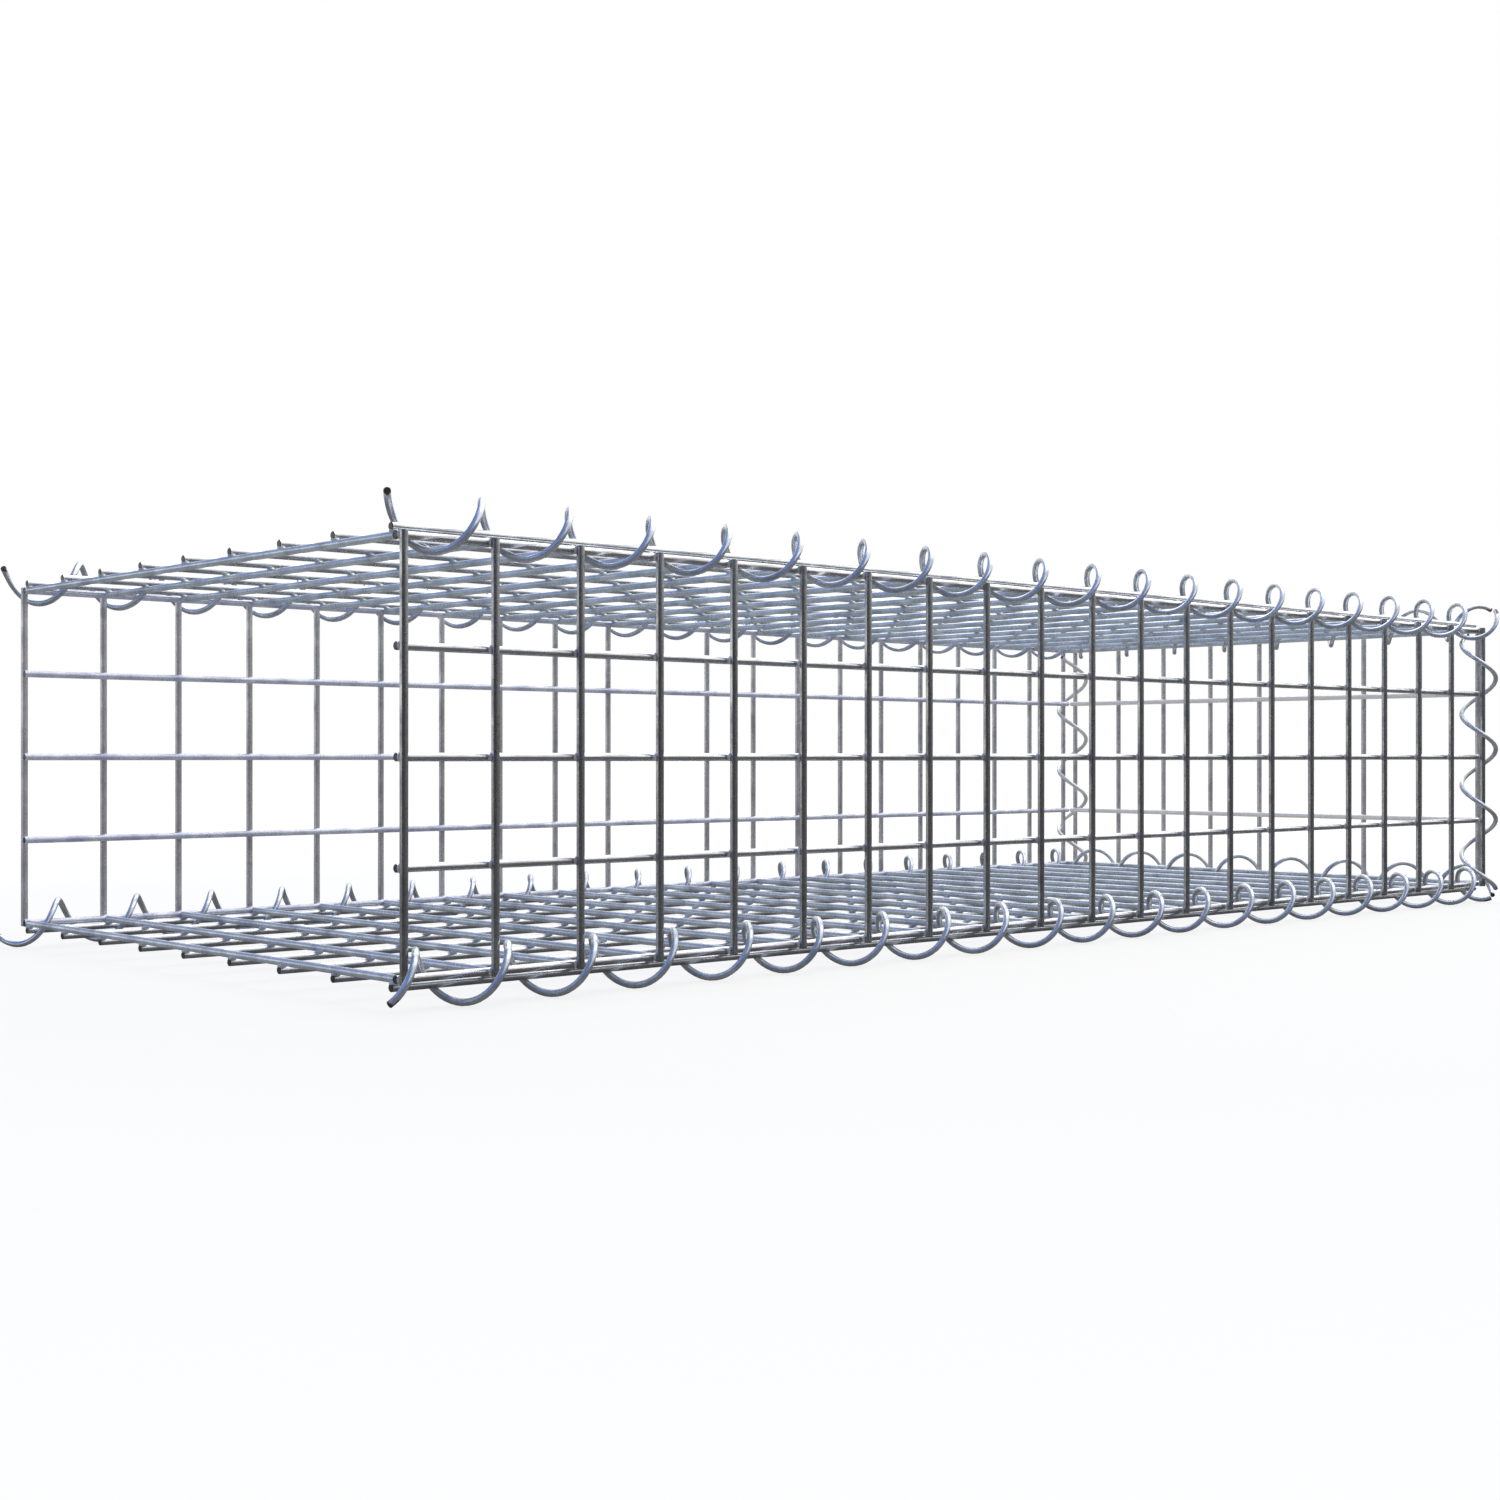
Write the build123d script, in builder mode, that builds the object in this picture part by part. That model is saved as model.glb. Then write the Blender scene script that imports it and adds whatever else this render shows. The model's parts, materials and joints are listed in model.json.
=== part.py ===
from build123d import *
from math import ceil, cos, floor, pi, radians, sin, sqrt
import os

# Gabion basket: an oblong cage of welded wire mesh, open at one end, laced along its edges with
# spirals of thinner wire. Filled with stones, it stands as one block of a wall.
# Millimetres. +X runs along the basket, from its open end to its closed end, and +Y from its front
# panel to its back panel. The origin is on the ground, under the middle of the whole basket.

# Welded mesh
cell_size = 50.0
cells_long = 20
cells_deep = 8
cells_high = 4
wire_d = 4.0
wire_sides = 8

# Lacing spirals, all left-handed
lace_d = 3.5
lace_sides = 5
loop_radius = 12.75
loop_corners = 8
lace_clearance = 0.3
# The shortest run between a cut end and the next corner, as a share of a run between corners
shortest_run = 0.3

# How far each pair of spirals leans up or in from the wire that it bears on, in degrees
top_lean = 12.0
bottom_lean = 29.0
end_top_lean = 52.0
end_bottom_lean = 2.5
corner_lean = 47.5

# What a spiral's turns gain on the mesh, from its first cell to its last
long_gain = 18.0
end_top_gain = 20.0
end_bottom_gain = 17.6
corner_gain = 23.6

# Where each spiral first turns round its wire, from the first wire that its edge crosses
top_front_turn = 5.5
top_back_turn = 20.7
bottom_front_turn = 23.3
bottom_back_turn = 3.8
end_top_turn = 18.1
end_bottom_turn = 26.0
end_front_turn = 5.2
end_back_turn = 31.9

# How far the cut ends of the spirals reach past the outermost wires that their edges cross
top_near_tail = 9.0
bottom_near_tail = 13.0
long_far_tail = 3.0
end_near_tail = 8.5
end_top_far_tail = 7.0
end_bottom_far_tail = 1.0
corner_low_tail = 4.0
end_front_high_tail = -2.0
end_back_high_tail = -6.0

# Each mesh wire ends flush with the outermost wire that it crosses
flush = wire_d / 2
length = cells_long * cell_size
depth = cells_deep * cell_size
height = cells_high * cell_size

# A spiral has the weight of a round wire and the mean radius of a round spiral
lace_corner = lace_d / 2 * sqrt(2 * pi / (lace_sides * sin(2 * pi / lace_sides)))
corner_radius = loop_radius / sqrt(cos(pi / loop_corners))

# The wire that a spiral bears on lies inside its turns, just clear of them
wire_corner = wire_d / 2 / cos(pi / wire_sides)
wire_gap = lace_corner + wire_corner + lace_clearance
seat = corner_radius - wire_gap / cos(pi / loop_corners)

# The outermost turns give the basket's own box, and so the place of the mesh in it
spiral_reach = corner_radius + lace_corner
near_reach = bottom_near_tail + lace_d / 2
far_reach = seat * cos(radians(end_bottom_lean)) + spiral_reach
x_first = (near_reach - far_reach - length) / 2
x_last = x_first + length
y_near = -depth / 2
y_far = depth / 2
y_front = y_near - 2 * wire_d
y_back = y_far + 2 * wire_d
z_low = spiral_reach - seat * sin(radians(end_bottom_lean))
z_high = z_low + height
x_middle = (x_first + x_last) / 2
z_middle = (z_low + z_high) / 2

# Planes at the cut ends of the upright, lengthwise and crosswise wires
upright_ends = Plane.XY.offset(z_low - flush)
lengthwise_ends = Plane.YZ.offset(x_first - flush)
crosswise_ends = Plane.XZ.offset(y_far + flush)


def wire_section():
    """The section of a mesh wire, flat where it is welded to the wires across it."""
    RegularPolygon(wire_d / 2, wire_sides, major_radius=False, rotation=180 / wire_sides)


# Front panel: uprights outside, line wires inside
with BuildPart() as front_panel_uprights:
    with BuildSketch(upright_ends):
        with Locations((x_middle, y_front)):
            with GridLocations(cell_size, cell_size, cells_long + 1, 1):
                wire_section()
    extrude(amount=height + 2 * flush)
front_panel_uprights.part.label = "front_panel_uprights"

with BuildPart() as front_panel_line_wires:
    with BuildSketch(lengthwise_ends):
        with Locations((y_front + wire_d, z_middle)):
            with GridLocations(cell_size, cell_size, 1, cells_high + 1):
                wire_section()
    extrude(amount=length + 2 * flush)
front_panel_line_wires.part.label = "front_panel_line_wires"

# Back panel: the front one turned about
with BuildPart() as back_panel_uprights:
    with BuildSketch(upright_ends):
        with Locations((x_middle, y_back)):
            with GridLocations(cell_size, cell_size, cells_long + 1, 1):
                wire_section()
    extrude(amount=height + 2 * flush)
back_panel_uprights.part.label = "back_panel_uprights"

with BuildPart() as back_panel_line_wires:
    with BuildSketch(lengthwise_ends):
        with Locations((y_back - wire_d, z_middle)):
            with GridLocations(cell_size, cell_size, 1, cells_high + 1):
                wire_section()
    extrude(amount=length + 2 * flush)
back_panel_line_wires.part.label = "back_panel_line_wires"

# Top panel, which is the lid: line wires outside, cross wires inside, between the front and back
with BuildPart() as top_panel_line_wires:
    with BuildSketch(lengthwise_ends):
        with Locations((0, z_high + wire_d)):
            with GridLocations(cell_size, cell_size, cells_deep + 1, 1):
                wire_section()
    extrude(amount=length + 2 * flush)
top_panel_line_wires.part.label = "top_panel_line_wires"

with BuildPart() as top_panel_cross_wires:
    with BuildSketch(crosswise_ends):
        with Locations((x_middle, z_high)):
            with GridLocations(cell_size, cell_size, cells_long + 1, 1):
                wire_section()
    extrude(amount=-(depth + 2 * flush))
top_panel_cross_wires.part.label = "top_panel_cross_wires"

# Bottom panel: the same, the other way up
with BuildPart() as bottom_panel_line_wires:
    with BuildSketch(lengthwise_ends):
        with Locations((0, z_low - wire_d)):
            with GridLocations(cell_size, cell_size, cells_deep + 1, 1):
                wire_section()
    extrude(amount=length + 2 * flush)
bottom_panel_line_wires.part.label = "bottom_panel_line_wires"

with BuildPart() as bottom_panel_cross_wires:
    with BuildSketch(crosswise_ends):
        with Locations((x_middle, z_low)):
            with GridLocations(cell_size, cell_size, cells_long + 1, 1):
                wire_section()
    extrude(amount=-(depth + 2 * flush))
bottom_panel_cross_wires.part.label = "bottom_panel_cross_wires"

# Closed end: uprights outside, line wires inside, against the last cross wires
with BuildPart() as end_panel_uprights:
    with BuildSketch(upright_ends):
        with Locations((x_last + 2 * wire_d, 0)):
            with GridLocations(cell_size, cell_size, 1, cells_deep + 1):
                wire_section()
    extrude(amount=height + 2 * flush)
end_panel_uprights.part.label = "end_panel_uprights"

with BuildPart() as end_panel_line_wires:
    with BuildSketch(crosswise_ends):
        with Locations((x_last + wire_d, z_middle)):
            with GridLocations(cell_size, cell_size, 1, cells_high + 1):
                wire_section()
    extrude(amount=-(depth + 2 * flush))
end_panel_line_wires.part.label = "end_panel_line_wires"


def spiral_axis(bearing_wire, outward, lift, lean, along):
    """The plane whose normal is a spiral's axis and whose x points at the wire it bears on."""
    aside = outward * cos(radians(lean)) + lift * sin(radians(lean))
    return Plane(origin=bearing_wire + aside * seat, x_dir=-aside, z_dir=along)


def spiral_route(pitch, first_turn, start, end):
    """Corner points of a left-handed spiral: each turn has a corner over the wire it bears on."""

    def corner(count):
        turn = -radians(360 / loop_corners * count)
        along = first_turn + pitch / loop_corners * count
        return Vector(corner_radius * cos(turn), corner_radius * sin(turn), along)

    def point(count):
        before = floor(count)
        part_way = count - before
        return corner(before) * (1 - part_way) + corner(before + 1) * part_way

    first = (start - first_turn) * loop_corners / pitch
    last = (end - first_turn) * loop_corners / pitch
    between = range(ceil(first + shortest_run), floor(last - shortest_run) + 1)
    return [tuple(point(count)) for count in (first, *between, last)]


# The wire that each spiral bears on, at the first wire that its edge crosses
along_x = Vector(1, 0, 0)
along_y = Vector(0, 1, 0)
along_z = Vector(0, 0, 1)
top_near_wire = Vector(x_first, y_near, z_high + wire_d)
top_far_wire = Vector(x_first, y_far, z_high + wire_d)
bottom_near_wire = Vector(x_first, y_near, z_low - wire_d)
bottom_far_wire = Vector(x_first, y_far, z_low - wire_d)
last_top_wire = Vector(x_last, y_near, z_high)
last_bottom_wire = Vector(x_last, y_near, z_low)
last_front_upright = Vector(x_last, y_front, z_low)
last_back_upright = Vector(x_last, y_back, z_low)

long_pitch = (length + long_gain) / cells_long
end_top_pitch = (depth + end_top_gain) / cells_deep
end_bottom_pitch = (depth + end_bottom_gain) / cells_deep
corner_pitch = (height + corner_gain) / cells_high
long_end = length + long_far_tail

axes = {
    "top_front_spiral": spiral_axis(top_near_wire, -along_y, along_z, top_lean, along_x),
    "top_back_spiral": spiral_axis(top_far_wire, along_y, along_z, top_lean, along_x),
    "bottom_front_spiral": spiral_axis(bottom_near_wire, -along_y, along_z, bottom_lean, along_x),
    "bottom_back_spiral": spiral_axis(bottom_far_wire, along_y, along_z, bottom_lean, along_x),
    "end_top_spiral": spiral_axis(last_top_wire, along_x, along_z, end_top_lean, along_y),
    "end_bottom_spiral": spiral_axis(last_bottom_wire, along_x, along_z, end_bottom_lean, along_y),
    "end_front_spiral": spiral_axis(last_front_upright, along_x, along_y, corner_lean, along_z),
    "end_back_spiral": spiral_axis(last_back_upright, along_x, -along_y, corner_lean, along_z),
}
routes = {
    "top_front_spiral": spiral_route(long_pitch, top_front_turn, -top_near_tail, long_end),
    "top_back_spiral": spiral_route(long_pitch, top_back_turn, -top_near_tail, long_end),
    "bottom_front_spiral": spiral_route(long_pitch, bottom_front_turn, -bottom_near_tail, long_end),
    "bottom_back_spiral": spiral_route(long_pitch, bottom_back_turn, -bottom_near_tail, long_end),
    "end_top_spiral": spiral_route(
        end_top_pitch, end_top_turn, -end_near_tail, depth + end_top_far_tail
    ),
    "end_bottom_spiral": spiral_route(
        end_bottom_pitch, end_bottom_turn, -end_near_tail, depth + end_bottom_far_tail
    ),
    "end_front_spiral": spiral_route(
        corner_pitch, end_front_turn, -corner_low_tail, height + end_front_high_tail
    ),
    "end_back_spiral": spiral_route(
        corner_pitch, end_back_turn, -corner_low_tail, height + end_back_high_tail
    ),
}

# The eight lacing spirals, each one length of wire turned round two meeting edges
spirals = {}
for name, axis in axes.items():
    with BuildPart() as spiral:
        with BuildLine(axis):
            route = Polyline(*routes[name])
        with BuildSketch(Plane(origin=route @ 0, z_dir=route % 0)):
            RegularPolygon(lace_corner, lace_sides)
        sweep(path=route, transition=Transition.RIGHT)
    spiral.part.label = name
    spirals[name] = spiral

os.makedirs("parts", exist_ok=True)
export_step(front_panel_uprights.part, "parts/front_panel_uprights.step")
export_step(front_panel_line_wires.part, "parts/front_panel_line_wires.step")
export_step(back_panel_uprights.part, "parts/back_panel_uprights.step")
export_step(back_panel_line_wires.part, "parts/back_panel_line_wires.step")
export_step(top_panel_line_wires.part, "parts/top_panel_line_wires.step")
export_step(top_panel_cross_wires.part, "parts/top_panel_cross_wires.step")
export_step(bottom_panel_line_wires.part, "parts/bottom_panel_line_wires.step")
export_step(bottom_panel_cross_wires.part, "parts/bottom_panel_cross_wires.step")
export_step(end_panel_uprights.part, "parts/end_panel_uprights.step")
export_step(end_panel_line_wires.part, "parts/end_panel_line_wires.step")
for name, spiral in spirals.items():
    export_step(spiral.part, f"parts/{name}.step")
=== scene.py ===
"""A gabion basket of welded galvanised mesh, open at one end and laced along its edges with spirals."""

import json
from math import atan2, cos, degrees, pi, radians, sin, tau
from typing import NamedTuple

import bpy
from mathutils import Matrix, Vector

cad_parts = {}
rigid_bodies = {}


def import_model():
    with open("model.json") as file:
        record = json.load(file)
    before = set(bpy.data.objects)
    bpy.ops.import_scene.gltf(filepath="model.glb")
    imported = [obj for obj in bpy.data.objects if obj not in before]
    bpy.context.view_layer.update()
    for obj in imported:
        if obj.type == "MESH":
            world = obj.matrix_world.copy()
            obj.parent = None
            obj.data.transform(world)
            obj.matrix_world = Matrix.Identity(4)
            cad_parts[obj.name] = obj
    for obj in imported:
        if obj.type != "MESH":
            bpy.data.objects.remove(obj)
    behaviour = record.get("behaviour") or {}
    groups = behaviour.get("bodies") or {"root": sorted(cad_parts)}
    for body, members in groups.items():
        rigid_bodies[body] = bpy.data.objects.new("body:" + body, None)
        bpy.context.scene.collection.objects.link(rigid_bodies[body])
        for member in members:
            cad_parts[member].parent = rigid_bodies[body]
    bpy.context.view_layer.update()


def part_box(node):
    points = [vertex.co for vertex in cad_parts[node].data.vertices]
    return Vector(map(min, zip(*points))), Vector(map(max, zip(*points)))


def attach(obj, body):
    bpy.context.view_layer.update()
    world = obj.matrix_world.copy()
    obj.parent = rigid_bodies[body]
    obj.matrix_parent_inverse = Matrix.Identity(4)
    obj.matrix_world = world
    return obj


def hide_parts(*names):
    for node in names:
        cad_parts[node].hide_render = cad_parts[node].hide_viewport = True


bl_info = {
    "name": "Gabion basket",
    "version": (1, 0, 0),
    "blender": (4, 5, 0),
    "location": "3D View > Sidebar > Gabion",
    "description": "Builds the round wires, welds and lacing spirals of a gabion basket",
    "category": "Add Mesh",
}

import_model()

# The mesh, as the frame gives it
BODY = "root"
MESH_SLOT = "mesh_wire"
LACING_SLOT = "lacing_wire"
front_low, front_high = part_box("front_panel_line_wires")
top_low, top_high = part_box("top_panel_line_wires")
WIRE = front_high.y - front_low.y
HALF = WIRE / 2
CELLS_LONG = 20
CELLS_DEEP = 8
CELLS_HIGH = 4
CELL = (front_high.x - front_low.x - WIRE) / CELLS_LONG

# Centre lines of the outermost wires
X_FIRST = front_low.x + HALF
X_LAST = front_high.x - HALF
Z_LOW = front_low.z + HALF
Z_HIGH = front_high.z - HALF
Y_NEAR = top_low.y + HALF
Y_FAR = top_high.y - HALF
Y_FRONT = Y_NEAR - 2 * WIRE
Y_BACK = Y_FAR + 2 * WIRE

# The lengths of the wires along, across and up the basket
LONG = X_LAST - X_FIRST + WIRE
DEEP = Y_FAR - Y_NEAR + WIRE
HIGH = Z_HIGH - Z_LOW + WIRE

ALONG_X = Vector((1, 0, 0))
ALONG_Y = Vector((0, 1, 0))
ALONG_Z = Vector((0, 0, 1))

# Faces that meet at less than this are shaded as one
SMOOTH_ANGLE = radians(40)

# How far a face looks along its wire: by more than the first it is a flat end, and by more than the
# second it is a flat end or its bevelled rim
FACES_ALONG = 0.9
FACES_ALONG_WITH_RIM = 0.5

# A weld is a flattened ball of a few faces, as there are hundreds of them
WELD_SEGMENTS = 10
WELD_RINGS = 6

# Zinc: noise per metre, the grain's share of the mottling, and the part of the noise that is spread
# from dull to bright
PATCH_SCALE = 55.0
GRAIN_SCALE = 420.0
GRAIN_SHARE = 0.25
DULL_BELOW = 0.36
BRIGHT_ABOVE = 0.64
DULL_ROUGHNESS = 0.36
BRIGHT_ROUGHNESS = 0.2
GRAIN_STRENGTH = 0.2
GRAIN_DEPTH = 0.0001

# Where a cut end shines, it is this many times as bright as where it is dull
CUT_CONTRAST = 2.5


class GabionMeshSettings(bpy.types.PropertyGroup):
    """Sizes of the round mesh wires and of the welds between them."""

    wire_faces: bpy.props.IntProperty(
        name="Faces round a wire",
        description="How many faces go round each straight wire",
        default=16,
        min=8,
    )
    end_bevel: bpy.props.FloatProperty(
        name="End bevel",
        description="Rounding of the rim of each cut end",
        default=0.0003,
        unit="LENGTH",
    )
    weld_width: bpy.props.FloatProperty(
        name="Weld width",
        description="Width of the metal pressed out where two wires are welded",
        default=0.005,
        unit="LENGTH",
    )
    weld_thickness: bpy.props.FloatProperty(
        name="Weld thickness",
        description="Thickness of the pressed out metal, across the two wires",
        default=0.0024,
        unit="LENGTH",
    )


class GabionLacingSettings(bpy.types.PropertyGroup):
    """Sizes of the spirals that lace the panels together."""

    wire: bpy.props.FloatProperty(
        name="Lacing wire",
        description="Diameter of the spirals' wire",
        default=0.0035,
        unit="LENGTH",
    )
    radius: bpy.props.FloatProperty(
        name="Spiral radius",
        description="Radius of the spirals' centre line",
        default=0.01275,
        unit="LENGTH",
    )
    seat: bpy.props.FloatProperty(
        name="Seat",
        description="From a spiral's axis to the wire that it bears on",
        default=0.00845,
        unit="LENGTH",
    )
    section_faces: bpy.props.IntProperty(
        name="Faces round a wire",
        description="How many faces go round a spiral's wire",
        default=14,
        min=8,
    )
    steps: bpy.props.IntProperty(
        name="Steps in a turn",
        description="How many rows of faces make one turn of a spiral",
        default=36,
        min=12,
    )


# The wires are all one galvanised zinc. Several groups get their own tone, tint or shine as painted
# light and shade, as said at each; the dark and light of each pair are the zinc's own mottling.
class GabionColourSettings(bpy.types.PropertyGroup):
    """Colours of the zinc on the wires and of the steel at their cut ends."""

    # Front uprights: darker than the rest of the wires' zinc, as painted shade
    upright_dark: bpy.props.FloatVectorProperty(
        name="Upright, dark",
        description="Dull zinc on the uprights",
        subtype="COLOR",
        default=(0.315, 0.315, 0.307),
    )
    upright_light: bpy.props.FloatVectorProperty(
        name="Upright, light",
        description="Bright zinc on the uprights",
        subtype="COLOR",
        default=(0.72, 0.715, 0.70),
    )
    # Back and end uprights: paler and greyer than the front uprights, as painted light
    back_upright_dark: bpy.props.FloatVectorProperty(
        name="Back upright, dark",
        description="Dull zinc on the uprights of the back",
        subtype="COLOR",
        default=(0.44, 0.435, 0.43),
    )
    back_upright_light: bpy.props.FloatVectorProperty(
        name="Back upright, light",
        description="Bright zinc on the uprights of the back",
        subtype="COLOR",
        default=(0.80, 0.795, 0.79),
    )
    side_dark: bpy.props.FloatVectorProperty(
        name="Side line wire, dark",
        description="Dull zinc on the line wires of the front",
        subtype="COLOR",
        default=(0.58, 0.58, 0.60),
    )
    side_light: bpy.props.FloatVectorProperty(
        name="Side line wire, light",
        description="Bright zinc on the line wires of the front",
        subtype="COLOR",
        default=(0.92, 0.93, 0.95),
    )
    # End line wires: near white, as painted light
    end_dark: bpy.props.FloatVectorProperty(
        name="End line wire, dark",
        description="Dull zinc on the line wires of the end",
        subtype="COLOR",
        default=(0.90, 0.87, 0.82),
    )
    end_light: bpy.props.FloatVectorProperty(
        name="End line wire, light",
        description="Bright zinc on the line wires of the end",
        subtype="COLOR",
        default=(1.0, 0.97, 0.93),
    )
    # Back line wires: the lavender tint is painted blue light
    back_dark: bpy.props.FloatVectorProperty(
        name="Back line wire, dark",
        description="Dull zinc on the line wires of the back",
        subtype="COLOR",
        default=(0.45, 0.48, 0.66),
    )
    back_light: bpy.props.FloatVectorProperty(
        name="Back line wire, light",
        description="Bright zinc on the line wires of the back",
        subtype="COLOR",
        default=(0.88, 0.90, 0.98),
    )
    front_weld_dark: bpy.props.FloatVectorProperty(
        name="Front weld, dark",
        description="Dull zinc on the welds of the front",
        subtype="COLOR",
        default=(0.50, 0.50, 0.50),
    )
    front_weld_light: bpy.props.FloatVectorProperty(
        name="Front weld, light",
        description="Bright zinc on the welds of the front",
        subtype="COLOR",
        default=(0.85, 0.85, 0.85),
    )
    rail_dark: bpy.props.FloatVectorProperty(
        name="Top and bottom line wire, dark",
        description="Dull zinc on the lengthwise wires of the top and the bottom",
        subtype="COLOR",
        default=(0.58, 0.60, 0.63),
    )
    rail_light: bpy.props.FloatVectorProperty(
        name="Top and bottom line wire, light",
        description="Bright zinc on the lengthwise wires of the top and the bottom",
        subtype="COLOR",
        default=(0.90, 0.92, 0.95),
    )
    # Top cross wires: a separate, less metallic copy of the zinc, showing lighter as painted light
    lid_dark: bpy.props.FloatVectorProperty(
        name="Top cross wire, dark",
        description="Dull zinc on the cross wires of the top",
        subtype="COLOR",
        default=(0.46, 0.52, 0.56),
    )
    lid_light: bpy.props.FloatVectorProperty(
        name="Top cross wire, light",
        description="Bright zinc on the cross wires of the top",
        subtype="COLOR",
        default=(0.87, 0.95, 0.99),
    )
    # Bottom cross wires: a separate, less metallic copy of the zinc, showing lighter as painted light
    floor_dark: bpy.props.FloatVectorProperty(
        name="Bottom cross wire, dark",
        description="Dull zinc on the cross wires of the bottom",
        subtype="COLOR",
        default=(0.41, 0.455, 0.50),
    )
    floor_light: bpy.props.FloatVectorProperty(
        name="Bottom cross wire, light",
        description="Bright zinc on the cross wires of the bottom",
        subtype="COLOR",
        default=(0.82, 0.88, 0.93),
    )
    lacing_dark: bpy.props.FloatVectorProperty(
        name="Spiral, dark",
        description="Dull zinc on the spirals",
        subtype="COLOR",
        default=(0.47, 0.51, 0.56),
    )
    lacing_light: bpy.props.FloatVectorProperty(
        name="Spiral, light",
        description="Bright zinc on the spirals",
        subtype="COLOR",
        default=(0.88, 0.92, 0.96),
    )
    # Spiral at the far corner: the same wire as the other spirals, painted paler and less shiny as
    # painted light
    painted_pale_lacing_dark: bpy.props.FloatVectorProperty(
        name="Dull spiral, dark",
        description="Dull zinc on the spiral at the far corner",
        subtype="COLOR",
        default=(0.64, 0.64, 0.63),
    )
    painted_pale_lacing_light: bpy.props.FloatVectorProperty(
        name="Dull spiral, light",
        description="Bright zinc on the spiral at the far corner",
        subtype="COLOR",
        default=(0.95, 0.95, 0.94),
    )
    cut_end: bpy.props.FloatVectorProperty(
        name="Cut end",
        description="Bare steel where a wire was cut",
        subtype="COLOR",
        default=(0.035, 0.033, 0.03),
    )


class GabionStageSettings(bpy.types.PropertyGroup):
    """The camera's place and the level of the light."""

    lens: bpy.props.FloatProperty(
        name="Lens",
        description="Focal length, in millimetres on a 36 mm sensor",
        default=47.41,
    )
    heading: bpy.props.FloatProperty(
        name="Heading",
        description="Direction in which the camera looks, from +X towards +Y",
        subtype="ANGLE",
        default=radians(47.5),
    )
    top_light: bpy.props.FloatProperty(
        name="Top light",
        description="Power of the soft light overhead",
        default=65.0,
        unit="POWER",
    )
    side_light: bpy.props.FloatProperty(
        name="Side light",
        description="Power of the soft blue light at the back left",
        default=27.0,
        unit="POWER",
    )
    sky: bpy.props.FloatProperty(
        name="Surroundings",
        description="Light that comes evenly from all round",
        default=0.45,
    )


def wire_settings():
    """The sizes of the mesh wires and welds, as the user has set them."""
    return bpy.context.scene.gabion_mesh


def deselect():
    """Nothing is selected and nothing is active."""
    bpy.ops.object.select_all(action="DESELECT")
    bpy.context.view_layer.objects.active = None


def start_piece(name):
    """Names the primitive just added."""
    piece = bpy.context.active_object
    piece.name = name
    piece.data.name = name
    return piece


def settle():
    """Puts the active piece's place, turn and size into its mesh."""
    bpy.ops.object.mode_set(mode="OBJECT")
    bpy.ops.object.transform_apply(location=True, rotation=True, scale=True)


def apply_array(piece, step, count):
    """Copies the piece count times, each copy one step on."""
    array = piece.modifiers.new("row", "ARRAY")
    array.use_relative_offset = False
    array.use_constant_offset = True
    array.constant_offset_displace = step
    array.count = count
    bpy.ops.object.modifier_apply(modifier=array.name)


def select_faces(piece, wanted):
    """Selects the faces that wanted(face) is true for, and goes to edit mode."""
    bpy.ops.object.mode_set(mode="EDIT")
    bpy.ops.mesh.select_mode(type="FACE")
    bpy.ops.mesh.select_all(action="DESELECT")
    bpy.ops.object.mode_set(mode="OBJECT")
    for face in piece.data.polygons:
        face.select = wanted(face)
    bpy.ops.object.mode_set(mode="EDIT")


def finish_piece(piece, slot, *nodes):
    """The piece rides on the basket and stands for its nodes."""
    bpy.ops.object.mode_set(mode="OBJECT")
    bpy.ops.object.shade_smooth_by_angle(angle=SMOOTH_ANGLE)
    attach(piece, BODY)
    if nodes:
        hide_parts(*nodes)
    deselect()


def value_node(nodes, kind, **sockets):
    """A node of that kind with the given inputs set."""
    node = nodes.new(kind)
    for name, value in sockets.items():
        node.inputs[name].default_value = value
    return node


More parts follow.
